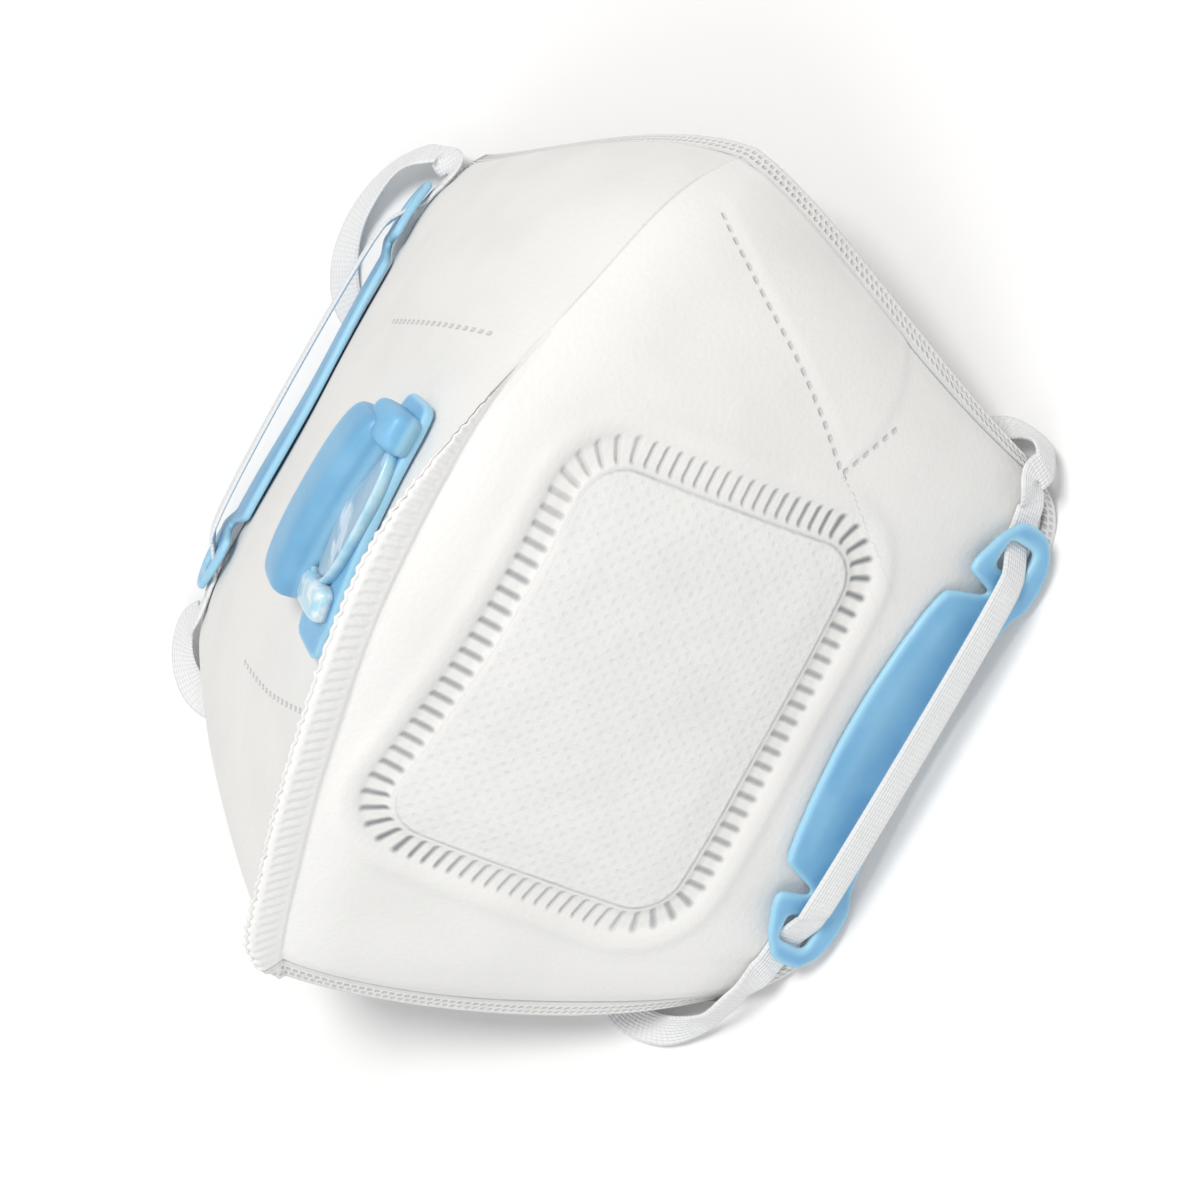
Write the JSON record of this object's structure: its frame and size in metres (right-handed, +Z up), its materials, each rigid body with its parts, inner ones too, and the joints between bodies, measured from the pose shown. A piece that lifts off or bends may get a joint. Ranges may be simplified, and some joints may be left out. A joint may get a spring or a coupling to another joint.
{
  "type": "folding half-mask respirator",
  "caption": "Fold-flat half mask of white nonwoven with a welded centre ridge, an exhalation valve, clips at the cheeks and one elastic strap, resting on its open side.",
  "frame": {"origin": "middle of the mask's outline on the surface that it rests on, without the strap", "axes": "+Z up, away from the wearer's face; +Y towards the nose; +X to the wearer's left"},
  "size_m": [0.1477, 0.1582, 0.0929],
  "materials": {
    "nonwoven": "matt, lightly embossed",
    "plastic": "satin, slightly translucent",
    "membrane": "smooth, translucent",
    "elastic": "knitted"
  },
  "bodies": {
    "root": {"panel_left": "nonwoven", "panel_right": "nonwoven", "hem_top": "nonwoven", "hem_bottom_left": "nonwoven", "hem_bottom_right": "nonwoven", "hem_side_left": "nonwoven", "hem_side_right": "nonwoven", "side_clip_left": "plastic", "side_clip_right": "plastic", "valve_seat": "plastic", "valve_flap": "membrane", "valve_cover": "plastic", "head_strap": "elastic"}
  },
  "joints": []
}
